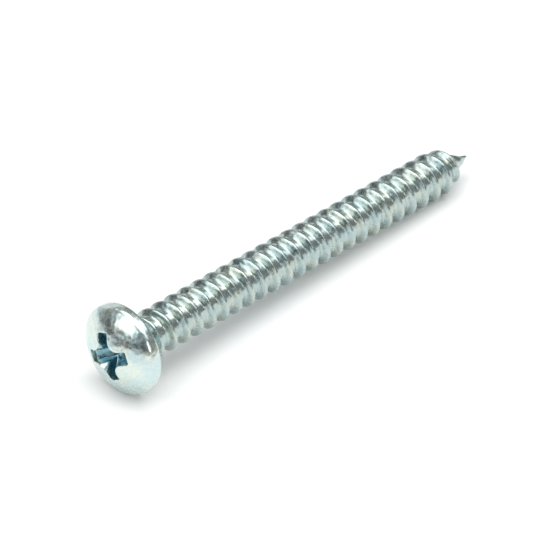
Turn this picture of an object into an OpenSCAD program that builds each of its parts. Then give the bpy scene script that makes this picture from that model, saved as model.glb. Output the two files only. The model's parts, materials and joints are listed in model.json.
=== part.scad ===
// Tapping screw with a pan head and a cross recess, fully threaded to a gimlet point.
// It is one piece of steel: the head is upset and the recess punched, then the thread is rolled.
// The screw lies as it comes to rest, on the rim of its head and on one crest near the point.

/* [Shank and thread] */
// Length from the bearing face to the tip of the point
shank_len = 35.2; // [20:0.1:60]
// Diameter over the thread crests
thread_d = 3.53; // [3.1:0.01:3.8]
// Diameter of the core, at the thread roots
core_d = 2.6; // [2.2:0.05:2.8]
// Distance from one crest to the next
pitch = 1.3; // [1:0.05:1.8]
// Angle between the two flanks of the thread
flank_angle = 60; // [45:1:65]
// Width of the flat along the crest
crest_w = 0.08; // [0.04:0.01:0.15]
// Distance along the underside from the bearing face to a crest
thread_phase = 0.78; // [0:0.02:1.3]

/* [Point] */
// Full angle of the cone at the point
point_angle = 45; // [40:1:50]
// Distance from the tip at which the crests start to drop
drop_start = 4.4; // [3.6:0.1:6]
// Distance from the tip at which the thread has run out on the cone
drop_end = 1.4; // [1:0.1:2]

/* [Head] */
// Diameter of the head
head_d = 6.95; // [6:0.05:8]
// Height of the crown above the widest part of the head
crown_h = 1.7; // [1.4:0.05:2.2]
// Radius that blends the crown into the side
shoulder_r = 0.55; // [0.3:0.05:0.8]
// Height of the straight side
side_h = 0.3; // [0.1:0.05:0.6]
// Radius of the lower edge, between the side and the bearing face
edge_r = 0.3; // [0.1:0.05:0.4]
// Diameter of the neck where it meets the bearing face
neck_d = 4.0; // [3.9:0.05:4.6]
// Height of the tapered neck
neck_h = 0.85; // [0.75:0.05:1.1]

/* [Cross recess] */
// Diameter over the tips of the four wings, at the crown
recess_d = 3.7; // [3:0.1:4.2]
// Depth of the recess below the top of the crown
recess_depth = 1.85; // [1.2:0.05:1.95]
// Width of a wing
wing_w = 0.95; // [0.6:0.05:1.1]
// Radius of the round inner corners between the wings
throat_r = 0.8; // [0.3:0.05:0.9]
// Lean of the wing ends from the axis
wing_lean = 13; // [8:1:20]
// Angle of the recess bottom from the axis
bottom_angle = 58; // [50:1:70]
// Turn of the recess about the screw's axis
recess_turn = 67; // [0:1:89]

/* [Hidden] */

// Facets of the thread in one turn, facets round the head, and points on each arc of its section
turn_steps = 32;
head_steps = 58;
arc_steps = 10;

head_r = head_d / 2;
crest_r = thread_d / 2;
core_r = core_d / 2;
head_h = crown_h + side_h + edge_r;

// The crown is a circle about the axis that runs smoothly into the shoulder's circle
shoulder_x = head_r - shoulder_r;
crown_r = (crown_h * crown_h - shoulder_r * shoulder_r + shoulder_x * shoulder_x)
    / (2 * (crown_h - shoulder_r));
crown_half_angle = asin(shoulder_x / (crown_r - shoulder_r));
widest_z = -edge_r - side_h;
crown_centre_z = crown_r - head_h;

// The section of one thread: root, crest, crest and root, along the axis
flank_w = (crest_r - core_r) * tan(flank_angle / 2);
thread_offsets = [-flank_w - crest_w / 2, -crest_w / 2, crest_w / 2, flank_w + crest_w / 2];
crest_end = thread_offsets[3];

// The first turn starts inside the head, and the last ends short of the tip
bury = 0.75;
turns_back = ceil((thread_phase + bury) / pitch);
first_z = thread_phase - turns_back * pitch;
tip_gap = 0.12;
step_count = floor((shank_len - tip_gap - crest_end - first_z) / pitch * turn_steps - 0.5);
least_ridge = 0.04;

function root_radius(z) = min(core_r, (shank_len - z) * tan(point_angle / 2));

function drop_share(z) = max(0, min(1, (drop_start - (shank_len - z)) / (drop_start - drop_end)));

// Crests fall slowly at first and then quickly, until they meet the cone and follow it to the tip
function crest_radius(z) =
    let (
        end_r = root_radius(max(z, shank_len - drop_end)),
        fallen_r = crest_r - (crest_r - end_r) * pow(drop_share(z), 3)
    )
    max(root_radius(z) + least_ridge, fallen_r);

// The screw leans towards its point until the head's rim and a crest touch the surface, the crest
// with the middle of one of its facets
function lean_for(z, r) =
    let (along = z + edge_r, across = head_r - edge_r - r * cos(180 / turn_steps))
    atan2(across, along) + asin(edge_r / norm([along, across]));

crest_count = floor((shank_len - drop_end - thread_phase) / pitch);
lean = min([
    for (k = [floor(crest_count / 2):crest_count], side = [-0.5, 0.5])
        let (z = thread_phase + k * pitch + side * crest_w)
        lean_for(z, crest_radius(z))
]);
axis_height = (head_r - edge_r) * cos(lean) - edge_r * sin(lean) + edge_r;
back_x = crown_centre_z * cos(lean) - crown_r;
front_x = shank_len * cos(lean);

function arc(x, z, r, from, to) = [
    for (i = [0:arc_steps])
        let (a = from + (to - from) * i / arc_steps)
        [x + r * cos(a), z + r * sin(a)]
];

// Half section of the head and its neck, from the shank round to the top of the crown
module head_section() {
    neck_end_r = core_r - 0.3;
    crown = arc(0, crown_centre_z, crown_r, crown_half_angle - 90, -90);
    polygon(concat(
        [[0, neck_h], [neck_end_r, neck_h], [neck_d / 2, 0]],
        arc(head_r - edge_r, -edge_r, edge_r, 90, 0),
        arc(shoulder_x, widest_z, shoulder_r, 0, crown_half_angle - 90),
        [for (i = [1:arc_steps - 1]) crown[i]],
        [[0, -head_h]]
    ));
}

// Core and rolled thread in one skin: a section of four points is carried along the helix, and
// each turn's last root line is joined to the first root line of the turn after it
module threaded_shank() {
    last = step_count;
    function point_at(i, j) =
        let (
            turns = (i + 0.5) / turn_steps,
            a = 360 * turns,
            z = first_z + pitch * turns + thread_offsets[j],
            r = (j == 0 || j == 3) ? root_radius(z) : crest_radius(z)
        )
        [r * cos(a), r * sin(a), z];
    points = concat(
        [for (i = [0:last - 1], j = [0:3]) point_at(i, j)],
        [[0, 0, shank_len], [0, 0, first_z - bury]]
    );
    tip = 4 * last;
    inner = tip + 1;
    function id(i, j) = i < last ? 4 * i + j : tip;

    thread_faces = [
        for (i = [0:last - 2], j = [0:2])
            each [
                [id(i, j), id(i + 1, j), id(i, j + 1)],
                [id(i + 1, j), id(i + 1, j + 1), id(i, j + 1)]
            ]
    ];
    root_faces = [
        for (i = [0:last - 1 - turn_steps])
            each [
                [id(i, 3), id(i + 1, 3), id(i + turn_steps, 0)],
                [id(i + 1, 3), id(i + 1 + turn_steps, 0), id(i + turn_steps, 0)]
            ]
    ];
    tip_faces = concat(
        [for (j = [0:2]) [id(last - 1, j), tip, id(last - 1, j + 1)]],
        [for (i = [last - turn_steps:last - 2]) [id(i, 3), id(i + 1, 3), tip]]
    );
    inner_faces = concat(
        [for (i = [0:turn_steps - 1]) [id(i, 0), inner, id(i + 1, 0)]],
        [for (j = [0:2]) [id(0, j), id(0, j + 1), inner]],
        [[id(0, 3), id(turn_steps, 0), inner]]
    );
    polyhedron(points, [
        for (f = concat(thread_faces, root_faces, tip_faces, inner_faces)) [f[0], f[2], f[1]]
    ]);
}

// Four wings with round corners between them: their ends lean inwards, and a blunt cone closes
// the bottom
module cross_recess() {
    tip_r = recess_d / 2;
    clear = 0.5;
    top_z = -head_h - clear;
    floor_z = recess_depth - head_h;
    surface_z = crown_centre_z - sqrt(crown_r * crown_r - tip_r * tip_r);
    top_r = tip_r + (surface_z - top_z) * tan(wing_lean);
    wall = tan(wing_lean);
    bottom = tan(bottom_angle);
    meet_z = (top_r + top_z * wall - floor_z * bottom) / (wall - bottom);
    meet_r = (floor_z - meet_z) * bottom;
    corner_at = wing_w / 2 + throat_r - 0.02;
    rotate([0, 0, recess_turn])
        intersection() {
            translate([0, 0, top_z])
                linear_extrude(recess_depth + clear) {
                    for (turn = [0, 90])
                        rotate([0, 0, turn])
                            square([2 * top_r, wing_w], center = true);
                    difference() {
                        square(2 * corner_at, center = true);
                        for (x = [-corner_at, corner_at], y = [-corner_at, corner_at])
                            translate([x, y])
                                circle(r = throat_r);
                    }
                }
            rotate_extrude($fn = head_steps)
                polygon([[0, top_z], [top_r, top_z], [meet_r, meet_z], [0, floor_z]]);
        }
}

module screw() {
    color([0.72, 0.75, 0.75])
        translate([-(back_x + front_x) / 2, 0, axis_height])
            rotate([0, 90 + lean, 0])
                difference() {
                    union() {
                        rotate([0, 0, 180 / head_steps])
                            rotate_extrude($fn = head_steps)
                                head_section();
                        threaded_shank();
                    }
                    cross_recess();
                }
}

screw();
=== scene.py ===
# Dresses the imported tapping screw: its rolled thread, its headed and punched pan head, and the
# bright zinc plating that covers both.
import json
import math

import bpy
from mathutils import Matrix, Vector


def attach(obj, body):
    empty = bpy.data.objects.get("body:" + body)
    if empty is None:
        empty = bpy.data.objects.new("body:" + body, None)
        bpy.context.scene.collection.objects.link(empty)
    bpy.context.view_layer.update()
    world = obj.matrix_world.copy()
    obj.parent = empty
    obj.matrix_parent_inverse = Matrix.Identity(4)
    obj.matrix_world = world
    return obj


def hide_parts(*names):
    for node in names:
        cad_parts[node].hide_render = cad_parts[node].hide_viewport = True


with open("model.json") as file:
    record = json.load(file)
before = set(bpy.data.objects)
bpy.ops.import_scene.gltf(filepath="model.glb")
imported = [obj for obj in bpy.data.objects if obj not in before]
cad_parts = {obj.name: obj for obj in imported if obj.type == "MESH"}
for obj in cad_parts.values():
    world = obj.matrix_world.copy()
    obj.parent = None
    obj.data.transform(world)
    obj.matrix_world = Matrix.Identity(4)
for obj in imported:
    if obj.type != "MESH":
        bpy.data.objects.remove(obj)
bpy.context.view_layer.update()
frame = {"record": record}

# The screw's own frame. The part was drawn upright, in millimetres, with the bearing face at zero
# and the point up, and it was then laid on its side: its own X axis turned down to the surface.
mounts = {m["name"]: m for m in frame["record"]["mounts"]}
axis = Vector(mounts["thread"]["axis"]).normalized()
shank_len = mounts["thread"]["dims"]["length_mm"]
mm = 0.001
seat = Vector(mounts["thread"]["pos_m"]) - axis * shank_len / 2 * mm
across = Vector((0, 1, 0)).cross(axis)
placed = Matrix.Translation(seat) @ Matrix((across, (0, 1, 0), axis)).transposed().to_4x4()


def add(tree, kind, inputs=None, **settings):
    """Adds a node to a tree with its settings, and links or fills the inputs that are named."""
    made = tree.nodes.new(kind)
    for name, value in settings.items():
        setattr(made, name, value)
    for name, value in (inputs or {}).items():
        if isinstance(value, bpy.types.NodeSocket):
            tree.links.new(value, made.inputs[name])
        else:
            made.inputs[name].default_value = value
    return made.outputs


# Threaded shank. It is drawn wire, and its thread is rolled on between two dies, which leave a
# smooth skin, round roots and narrow crests that run out on the gimlet point. The skin is one grid
# laid along the helix, so that every crest and root is a row of its own.
crest_r = mounts["thread"]["dims"]["r_mm"]
core_r = 1.3
pitch = 1.3
crest_flat = 0.22
flank_w = (crest_r - core_r) * math.tan(math.radians(30))
first_crest = 0.78 - 2 * pitch
shank_start = -0.25
turns = math.ceil((shank_len - first_crest) / pitch) + 1
rows_per_turn = 26

thread = bpy.data.node_groups.new("rolled_thread", "GeometryNodeTree")
thread.interface.new_socket("Geometry", in_out="INPUT", socket_type="NodeSocketGeometry")
thread.interface.new_socket("Geometry", in_out="OUTPUT", socket_type="NodeSocketGeometry")
thread_sizes = {
    "Crest Radius": crest_r,
    "Core Radius": core_r,
    "Pitch": pitch,
    "First Crest": first_crest,
    "Start": shank_start,
    "Length": shank_len,
    "Crest Half Width": crest_flat / 2,
    "Flank Width": flank_w,
    "Point Slope": math.tan(math.radians(22.5)),
    "Drop Start": 4.4,
    "Drop End": 1.4,
    "Unevenness": 0.012,
}
size_ids = {
    name: thread.interface.new_socket(name, in_out="INPUT", socket_type="NodeSocketFloat").identifier
    for name in thread_sizes
}
size = add(thread, "NodeGroupInput")
maths = "ShaderNodeMath"
grid = add(thread, "GeometryNodeMeshGrid", {
    "Size X": 1.0, "Size Y": 1.0, "Vertices X": 73, "Vertices Y": turns * rows_per_turn + 1})
place = add(thread, "ShaderNodeSeparateXYZ", {0: add(thread, "GeometryNodeInputPosition")[0]})
turn = add(thread, maths, {0: place["X"], 1: 0.5}, operation="ADD")[0]
row = add(thread, maths, {0: place["Y"], 1: 0.5, 2: 0.0}, operation="ADD")[0]

# Rows crowd together at the crests, where the skin bends most
along = add(thread, maths, {0: row, 1: float(turns)}, operation="MULTIPLY")[0]
wave = add(thread, maths, {0: along, 1: 2 * math.pi}, operation="MULTIPLY")[0]
wave = add(thread, maths, {0: wave}, operation="SINE")[0]
along = add(thread, maths, {0: wave, 1: -0.6 / (2 * math.pi), 2: along}, operation="MULTIPLY_ADD")[0]
along = add(thread, maths, {0: along, 1: turn}, operation="ADD")[0]
z = add(thread, maths, {0: along, 1: size["Pitch"], 2: size["First Crest"]}, operation="MULTIPLY_ADD")[0]
z = add(thread, maths, {0: z, 1: size["Start"]}, operation="MAXIMUM")[0]
z = add(thread, maths, {0: z, 1: size["Length"]}, operation="MINIMUM")[0]
rest = add(thread, maths, {0: size["Length"], 1: z}, operation="SUBTRACT")[0]
ended = add(thread, maths, {0: rest, 1: 0.05}, operation="LESS_THAN")[0]
z = add(thread, maths, {0: rest, 1: ended, 2: z}, operation="MULTIPLY_ADD")[0]

# How far each row is from its nearest crest, and its share of the thread's depth
phase = add(thread, maths, {0: z, 1: size["First Crest"]}, operation="SUBTRACT")[0]
phase = add(thread, maths, {0: phase, 1: size["Pitch"]}, operation="DIVIDE")[0]
phase = add(thread, maths, {0: phase, 1: turn}, operation="SUBTRACT")[0]
phase = add(thread, maths, {0: phase, 1: 0.5}, operation="PINGPONG")[0]
away = add(thread, maths, {0: phase, 1: size["Pitch"]}, operation="MULTIPLY")[0]
away = add(thread, maths, {0: away, 1: size["Crest Half Width"]}, operation="SUBTRACT")[0]
share = add(thread, maths, {0: away, 1: size["Flank Width"]}, operation="DIVIDE")[0]
share = add(thread, maths, {0: 1.0, 1: share}, operation="SUBTRACT")[0]
share = add(thread, maths, {0: share, 1: 1.0, 2: 0.35}, operation="SMOOTH_MIN")[0]
share = add(thread, maths, {0: share, 1: 0.0, 2: 0.15}, operation="SMOOTH_MAX")[0]

# The core narrows to the point, and the crests drop to meet it
left = add(thread, maths, {0: size["Length"], 1: z}, operation="SUBTRACT")[0]
cone = add(thread, maths, {0: left, 1: size["Point Slope"]}, operation="MULTIPLY")[0]
core = add(thread, maths, {0: cone, 1: size["Core Radius"], 2: 0.3}, operation="SMOOTH_MIN")[0]
end_r = add(thread, maths, {0: left, 1: size["Drop End"]}, operation="MINIMUM")[0]
end_r = add(thread, maths, {0: end_r, 1: size["Point Slope"]}, operation="MULTIPLY")[0]
drop = add(thread, "ShaderNodeMapRange", {
    "Value": left, "From Min": size["Drop Start"], "From Max": size["Drop End"]})[0]
drop = add(thread, maths, {0: drop, 1: 3.0}, operation="POWER")[0]
fall = add(thread, maths, {0: size["Crest Radius"], 1: end_r}, operation="SUBTRACT")[0]
crest = add(thread, maths, {0: drop, 1: fall}, operation="MULTIPLY")[0]
crest = add(thread, maths, {0: size["Crest Radius"], 1: crest}, operation="SUBTRACT")[0]
ridge = add(thread, maths, {0: left, 1: 0.1}, operation="MULTIPLY")[0]
ridge = add(thread, maths, {0: ridge, 1: 0.04}, operation="MINIMUM")[0]
depth = add(thread, maths, {0: crest, 1: core}, operation="SUBTRACT")[0]
depth = add(thread, maths, {0: depth, 1: ridge}, operation="MAXIMUM")[0]
radius = add(thread, maths, {0: depth, 1: share, 2: core}, operation="MULTIPLY_ADD")[0]
opened = add(thread, maths, {0: row, 1: 0.5 / (turns * rows_per_turn)}, operation="GREATER_THAN")[0]
radius = add(thread, maths, {0: radius, 1: opened}, operation="MULTIPLY")[0]

angle = add(thread, maths, {0: turn, 1: 2 * math.pi}, operation="MULTIPLY")[0]
side_x = add(thread, maths, {0: add(thread, maths, {0: angle}, operation="COSINE")[0], 1: radius},
             operation="MULTIPLY")[0]
side_y = add(thread, maths, {0: add(thread, maths, {0: angle}, operation="SINE")[0], 1: radius},
             operation="MULTIPLY")[0]
skin = add(thread, "ShaderNodeCombineXYZ", {"X": side_x, "Y": side_y, "Z": z})[0]
shaped = add(thread, "GeometryNodeSetPosition", {"Geometry": grid["Mesh"], "Position": skin})[0]
sewn = add(thread, "GeometryNodeMergeByDistance", {"Geometry": shaped, "Distance": 0.001})[0]

# The dies leave each flank a little uneven
waviness = add(thread, "ShaderNodeTexNoise", {
    "Vector": add(thread, "GeometryNodeInputPosition")[0], "Scale": 1.1, "Detail": 2.0})["Fac"]
waviness = add(thread, maths, {0: waviness, 1: 0.5}, operation="SUBTRACT")[0]
waviness = add(thread, maths, {0: waviness, 1: size["Unevenness"]}, operation="MULTIPLY")[0]
outward = add(thread, "ShaderNodeVectorMath", {
    0: add(thread, "GeometryNodeInputNormal")[0], "Scale": waviness}, operation="SCALE")[0]
uneven = add(thread, "GeometryNodeSetPosition", {"Geometry": sewn, "Offset": outward})[0]

head_r = 3.475
crown_h = 1.7
shoulder_r = 0.55
side_h = 0.3
edge_r = 0.3
neck_r = 2.0
neck_h = 0.85
head_h = crown_h + side_h + edge_r
shoulder_x = head_r - shoulder_r
crown_r = (crown_h ** 2 - shoulder_r ** 2 + shoulder_x ** 2) / (2 * (crown_h - shoulder_r))
crown_centre = crown_r - head_h
crown_half_angle = math.asin(shoulder_x / (crown_r - shoulder_r))

recess_r = mounts["drive_recess"]["dims"]["r_mm"]
recess_depth = mounts["drive_recess"]["dims"]["length_mm"]

# Bright zinc plating, electroplated over steel and passivated. The coat is a few microns thick: it
# gives a satin mirror with a faint blue and green tint, clouded by the bath and scuffed by the
# other screws in the box.
def colour(code):
    """The linear value of an sRGB hex colour."""
    parts = [int(code[i:i + 2], 16) / 255 for i in (1, 3, 5)]
    return [c / 12.92 if c <= 0.04045 else ((c + 0.055) / 1.055) ** 2.4 for c in parts] + [1]


bath_cloud = 1.4
haze = 0.3
lump = 0.7
grain = 0.17

zinc = bpy.data.materials.new("zinc_plated_steel")
zinc.use_nodes = True
tree = zinc.node_tree
tree.nodes.clear()
own = add(tree, "ShaderNodeMapping", {
    "Vector": add(tree, "ShaderNodeTexCoord")["Object"], "Location": seat,
    "Rotation": placed.to_euler(), "Scale": (mm, mm, mm)}, vector_type="TEXTURE")[0]
tint_noise = add(tree, "ShaderNodeTexNoise", {"Vector": own, "Scale": 1 / bath_cloud, "Detail": 3.0})["Fac"]
tint = add(tree, "ShaderNodeValToRGB", {"Fac": tint_noise})
ramp = tint["Color"].node.color_ramp
ramp.elements[0].position, ramp.elements[0].color = 0.35, colour("#C4D8DA")
ramp.elements[1].position, ramp.elements[1].color = 0.65, colour("#DAE2D8")
# Inside the recess the coat turns a darker teal the deeper it lies: partly the thinner plating there,
# partly painted shade of the recess.
inside = add(tree, "ShaderNodeVectorMath", {0: own, 1: (0, 0, crown_centre)}, operation="DISTANCE")["Value"]
depth = add(tree, "ShaderNodeMath", {0: crown_r, 1: inside}, operation="SUBTRACT")[0]
side = add(tree, "ShaderNodeVectorMath", {0: own, 1: (1, 1, 0)}, operation="MULTIPLY")["Vector"]
side = add(tree, "ShaderNodeVectorMath", {0: side}, operation="LENGTH")["Value"]
near = add(tree, "ShaderNodeMath", {0: side, 1: recess_r + 0.1}, operation="LESS_THAN")[0]
height = add(tree, "ShaderNodeSeparateXYZ", {0: own})["Z"]
above = add(tree, "ShaderNodeMath", {0: height, 1: -edge_r}, operation="LESS_THAN")[0]
near = add(tree, "ShaderNodeMath", {0: near, 1: above}, operation="MULTIPLY")[0]
depth = add(tree, "ShaderNodeMath", {0: depth, 1: near}, operation="MULTIPLY")[0]
thin_coat_and_shade = add(tree, "ShaderNodeMapRange", {"Value": depth, "From Min": 0.03, "From Max": 0.55})[0]
# The coat is made a little darker on the shank than on the head: painted shade, for the shadowed paper that
# the shank reflects.
shank_shade = add(tree, "ShaderNodeMapRange", {"Value": height, "From Min": -edge_r, "From Max": edge_r})[0]
coat_and_shade = add(tree, "ShaderNodeMix", {
    "Factor": shank_shade, 6: tint["Color"], 7: colour("#E2E4E4")}, data_type="RGBA", blend_type="MULTIPLY")[2]
coat_and_shade = add(tree, "ShaderNodeMix", {
    "Factor": thin_coat_and_shade, 6: coat_and_shade, 7: colour("#7EA8B4")}, data_type="RGBA")[2]
cloud = add(tree, "ShaderNodeTexNoise", {
    "Vector": own, "Scale": 1 / haze, "Detail": 5.0, "Roughness": 0.65})["Fac"]
rough = add(tree, "ShaderNodeMapRange", {
    "Value": cloud, "From Min": 0.3, "From Max": 0.7, "To Min": 0.2, "To Max": 0.33})[0]
grit = add(tree, "ShaderNodeTexNoise", {"Vector": own, "Scale": 1 / grain, "Detail": 4.0})["Fac"]
lumps = add(tree, "ShaderNodeTexNoise", {"Vector": own, "Scale": 1 / lump, "Detail": 1.0})["Fac"]
lumps = add(tree, "ShaderNodeBump", {"Height": lumps, "Strength": 0.8, "Distance": 0.08 * mm})[0]
bump = add(tree, "ShaderNodeBump", {
    "Height": grit, "Strength": 0.35, "Distance": 0.01 * mm, "Normal": lumps})[0]
surface = add(tree, "ShaderNodeBsdfPrincipled", {
    "Base Color": coat_and_shade, "Metallic": 1.0, "Roughness": rough, "Normal": bump})
add(tree, "ShaderNodeOutputMaterial", {"Surface": surface["BSDF"]})

plated = add(thread, "GeometryNodeSetMaterial", {
    "Geometry": add(thread, "GeometryNodeRealizeInstances", {"Geometry": uneven})[0],
    "Material": zinc})[0]
add(thread, "NodeGroupOutput", {"Geometry": plated})

shank = bpy.data.objects.new("shank_blank", bpy.data.meshes.new("shank_blank"))
bpy.context.collection.objects.link(shank)
rolled = shank.modifiers.new("rolled_thread", "NODES")
rolled.node_group = thread
for name, value in thread_sizes.items():
    rolled[size_ids[name]] = value
graph = bpy.context.evaluated_depsgraph_get()
thread_mesh = bpy.data.meshes.new_from_object(shank.evaluated_get(graph))
shank.modifiers.remove(rolled)
shank.data = thread_mesh

# Pan head with its cross recess. The head is upset cold from the end of the wire, and a punch
# drives the recess into it in the same blow, so every edge of the recess is slightly rolled in.
# The skin is a stack of rings, from the bottom of the recess out over the crown and under to the
# neck, all with the same number of points.
wing_half = 0.475
corner_r = 0.12
throat_r = 0.8
wing_draft = math.radians(13)
side_draft = math.radians(3)
corner_draft = math.radians(26)
bottom_cone = math.radians(58)
recess_turn = math.radians(67)
rolled_edge = 0.07
burr_reach = 0.15
burr_at = Vector((1.6, -0.73))


def arc(x, y, r, start, end, steps):
    """Points on an arc, with their outward direction, from one angle in degrees to another."""
    angles = [math.radians(start + (end - start) * i / steps) for i in range(steps + 1)]
    return [(Vector((x + r * math.cos(a), y + r * math.sin(a))), a) for a in angles]


def cross_outline():
    """Points round the mouth of the recess, each with its wall's direction, draft and furthest shift."""
    side_y = wing_half - corner_r
    middle = wing_half + throat_r
    found = []
    for wing in range(4):
        reach = recess_r - (burr_reach if wing == 3 else 0)
        tip_x = reach - corner_r
        half = [(Vector((reach, y)), 0.0, wing_draft, 9.0) for y in (0.0, 0.1, 0.2)]
        for p, a in arc(tip_x, side_y, corner_r, 0, 90, 5):
            half.append((p, a, wing_draft * (1 - math.degrees(a) / 90), 9.0))
        for share in (0.18, 0.4, 0.62, 0.81):
            x = tip_x + (middle - tip_x) * share
            half.append((Vector((x, wing_half)), math.radians(90), 0.0, 0.0))
        for p, a in arc(middle, middle, throat_r, 270, 225, 8):
            furthest = (p.y - wing_half) / math.sin(a + math.pi)
            half.append((p, a + math.pi, corner_draft, furthest))
        mirrored = [(Vector((p.x, -p.y)), -a, *rest) for p, a, *rest in half[-2:0:-1]]
        spin = math.radians(90 * wing) + recess_turn
        turned = Matrix.Rotation(spin, 2)
        found += [(turned @ p, a + spin, *rest) for p, a, *rest in mirrored + half]
    return found


def crown_z(p):
    """Height of the crown at a point, with the small burr that the punch left by one wing."""
    burr = 0.2 * math.exp(-(p - burr_at).length_squared / 0.02)
    return crown_centre - math.sqrt(crown_r ** 2 - p.length_squared) - burr


def head_rings():
    """The rings of the head, each a list of points, from inside the recess to inside the shank."""
    outline = cross_outline()
    count = len(outline)
    floor_z = recess_depth - head_h
    outward = [Vector((math.cos(a), math.sin(a))) for _, a, _, _ in outline]

    def wall_at(i, deep):
        p, _, draft, furthest = outline[i]
        shift = deep * math.tan(side_draft) + min(deep * math.tan(draft), furthest)
        return p - outward[i] * shift

    tops = [crown_z(p) + rolled_edge for p, _, _, _ in outline]
    depths = []
    for i in range(count):
        deep = 0.0
        for _ in range(30):
            low = floor_z - wall_at(i, deep).length / math.tan(bottom_cone)
            deep += 0.5 * (max(low - tops[i], 0.04) - deep)
        depths.append(deep)
    feet = [wall_at(i, depths[i]) for i in range(count)]
    rings = []
    for share in (0.06, 0.2, 0.4, 0.6, 0.8, 0.93):
        rings.append([
            (*(foot * share), floor_z - foot.length * share / math.tan(bottom_cone)) for foot in feet
        ])
    for share in (0.99, 0.85, 0.7, 0.55, 0.4, 0.25, 0.12, 0.0):
        rings.append([
            (*wall_at(i, depths[i] * share), tops[i] + depths[i] * share) for i in range(count)
        ])
    for step in (30, 60, 90):
        a = math.radians(step)
        moved = [p + out * rolled_edge * (1 - math.cos(a)) for (p, *_), out in zip(outline, outward)]
        rings.append([
            (*q, crown_z(q) + rolled_edge * (1 - math.sin(a))) for q in moved
        ])
    # Over the crown the rings change from the cross to circles
    mouth = [p + out * rolled_edge for (p, *_), out in zip(outline, outward)]
    starts = [math.atan2(p.y, p.x) for p in mouth]
    first = starts[0]
    even = [first + 2 * math.pi * i / count for i in range(count)]
    for share in (0.06, 0.14, 0.24, 0.36, 0.5, 0.64, 0.78, 0.9, 1.0):
        ring = []
        for p, a in zip(mouth, even):
            on_circle = Vector((math.cos(a), math.sin(a))) * crown_r * math.sin(crown_half_angle)
            q = p.lerp(on_circle, share)
            ring.append((*q, crown_z(q)))
        rings.append(ring)
    rim = arc(shoulder_x, -edge_r - side_h, shoulder_r, math.degrees(crown_half_angle) - 90, 0, 9)[1:]
    rim += arc(head_r - edge_r, -edge_r, edge_r, 0, 90, 6)
    section = [tuple(p) for p, _ in rim]
    section += [(2.9, 0.0), (2.5, 0.0), (2.15, 0.0), (neck_r, 0.03), (1.8, 0.16), (1.55, 0.36)]
    section += [(1.3, 0.6), (1.05, neck_h)]
    for r, z_at in section:
        rings.append([(r * math.cos(a), r * math.sin(a), z_at) for a in even])
    return rings, (0, 0, floor_z - 0.04), (0, 0, neck_h)


rings, first_pole, last_pole = head_rings()
count = len(rings[0])
points = [first_pole] + [p for ring in rings for p in ring] + [last_pole]
faces = []
for i in range(count):
    j = (i + 1) % count
    faces.append((0, 1 + j, 1 + i))
    for k in range(len(rings) - 1):
        low, high = 1 + k * count, 1 + (k + 1) * count
        faces.append((low + i, low + j, high + j, high + i))
    last = 1 + (len(rings) - 1) * count
    faces.append((last + i, last + j, len(points) - 1))
head_mesh = bpy.data.meshes.new("pan_head_blank")
head_mesh.from_pydata(points, [], faces)
head_mesh.materials.append(zinc)
head = bpy.data.objects.new("pan_head_blank", head_mesh)
bpy.context.collection.objects.link(head)

# Head and shank are one piece of steel, so they are joined into one closed skin and laid down in
# their place. The finished screw stands for the plain one of the model.
joined = head.modifiers.new("one_piece", "BOOLEAN")
joined.operation = "UNION"
joined.solver = "MANIFOLD"
joined.object = shank
graph = bpy.context.evaluated_depsgraph_get()
screw_mesh = bpy.data.meshes.new_from_object(head.evaluated_get(graph))
head.modifiers.remove(joined)
bpy.data.objects.remove(head)
bpy.data.objects.remove(shank)
screw_mesh.transform(placed @ Matrix.Scale(mm, 4))
screw_mesh.name = "plated_screw"
screw_mesh.shade_smooth()
screw_mesh.set_sharp_from_angle(angle=math.radians(40))
screw = bpy.data.objects.new("plated_screw", screw_mesh)
bpy.context.collection.objects.link(screw)
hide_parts("screw")
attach(screw, "root")

# Table and light. The screw lies on white paper under one wide soft box, in a grey room.
paper = bpy.data.materials.new("white_paper")
paper.use_nodes = True
tree = paper.node_tree
tree.nodes.clear()
ray = add(tree, "ShaderNodeLightPath")
matt = add(tree, "ShaderNodeBsdfDiffuse", {"Color": colour("#F7F7F7")})[0]
glow = add(tree, "ShaderNodeEmission", {"Color": (1, 1, 1, 1), "Strength": 0.05})[0]
looked_at = add(tree, "ShaderNodeMath", {
    0: ray["Is Camera Ray"], 1: ray["Is Glossy Ray"]}, operation="MAXIMUM")[0]
lit = add(tree, "ShaderNodeAddShader", {0: matt, 1: glow})[0]
seen = add(tree, "ShaderNodeMixShader", {0: looked_at, 1: matt, 2: lit})[0]
add(tree, "ShaderNodeOutputMaterial", {"Surface": seen})
half = 0.6
table_mesh = bpy.data.meshes.new("table")
table_mesh.from_pydata(
    [(-half, -half, 0), (half, -half, 0), (half, half, 0), (-half, half, 0)], [], [(0, 1, 2, 3)])
table_mesh.materials.append(paper)
table = bpy.data.objects.new("table", table_mesh)
bpy.context.collection.objects.link(table)

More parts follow.
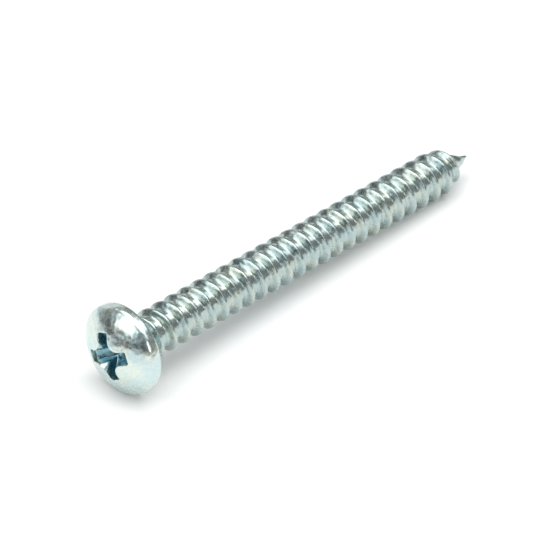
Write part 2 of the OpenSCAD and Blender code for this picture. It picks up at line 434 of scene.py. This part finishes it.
world = bpy.data.worlds.new("grey_room")
bpy.context.scene.world = world
world.use_nodes = True
tree = world.node_tree
tree.nodes.clear()
ray = add(tree, "ShaderNodeLightPath")
direction = add(tree, "ShaderNodeTexCoord")["Generated"]
facing = add(tree, "ShaderNodeVectorMath", {
    0: direction, 1: (-0.98, -0.17, 0)}, operation="DOT_PRODUCT")["Value"]
facing = add(tree, "ShaderNodeMapRange", {"Value": facing, "From Min": 0.25, "From Max": 0.55})[0]
rise = add(tree, "ShaderNodeSeparateXYZ", {0: direction})["Z"]
low = add(tree, "ShaderNodeMapRange", {"Value": rise, "From Min": 0.42, "From Max": 0.25})[0]
dark = add(tree, "ShaderNodeMath", {0: facing, 1: low}, operation="MULTIPLY")[0]
shade = add(tree, "ShaderNodeMix", {
    "Factor": dark, 6: colour("#868A8A"), 7: colour("#2C282C")}, data_type="RGBA")[2]
room = add(tree, "ShaderNodeBackground", {"Color": shade, "Strength": 1.0})[0]
white = add(tree, "ShaderNodeBackground", {"Color": (1, 1, 1, 1), "Strength": 1.0})[0]
add(tree, "ShaderNodeOutputWorld", {
    "Surface": add(tree, "ShaderNodeMixShader", {0: ray["Is Camera Ray"], 1: room, 2: white})[0]})


def soft_box(name, place, target, width, height, radiance, spin=0):
    """A rectangular lamp that faces a point and whose surface has a set brightness."""
    lamp = bpy.data.lights.new(name, "AREA")
    lamp.shape = "RECTANGLE"
    lamp.size, lamp.size_y = width, height
    lamp.energy = radiance * 4 * width * height
    stand = bpy.data.objects.new(name, lamp)
    stand.location = place
    stand.rotation_euler = (Vector(target) - Vector(place)).to_track_quat("-Z", "Y").to_euler()
    stand.rotation_euler.rotate_axis("Z", math.radians(spin))
    bpy.context.collection.objects.link(stand)


soft_box("overhead_box", (0.06, -0.06, 0.5), (0.06, -0.06, 0), 0.8, 0.58, 1.8, -45)
soft_box("head_side_box", (-0.5, 0.1, 0.36), (0, 0, 0), 0.5, 0.32, 1.4)
soft_box("side_wall", (0.15, 0.7, 0.25), (0, 0, 0.05), 0.9, 0.4, 0.55)
soft_box("small_window", (-0.15, -0.42, 0.18), (0, 0, 0), 0.2, 0.13, 2.2)

# Camera, as the photographer held it: from above the head's end, with a long lens.
camera_at = Vector((-0.21850, -0.21569, 0.23214))
aim = Vector((-0.002517, -0.000813, 0.0025))
lens = bpy.data.cameras.new("camera")
lens.lens = 348.0
lens.sensor_width = 36.0
lens.clip_start = 0.01
camera = bpy.data.objects.new("camera", lens)
camera.location = camera_at
camera.rotation_euler = (aim - camera_at).to_track_quat("-Z", "Y").to_euler()
camera.rotation_euler.rotate_axis("Z", math.radians(-0.96))
bpy.context.collection.objects.link(camera)
bpy.context.scene.camera = camera
bpy.context.scene.view_settings.view_transform = "Standard"
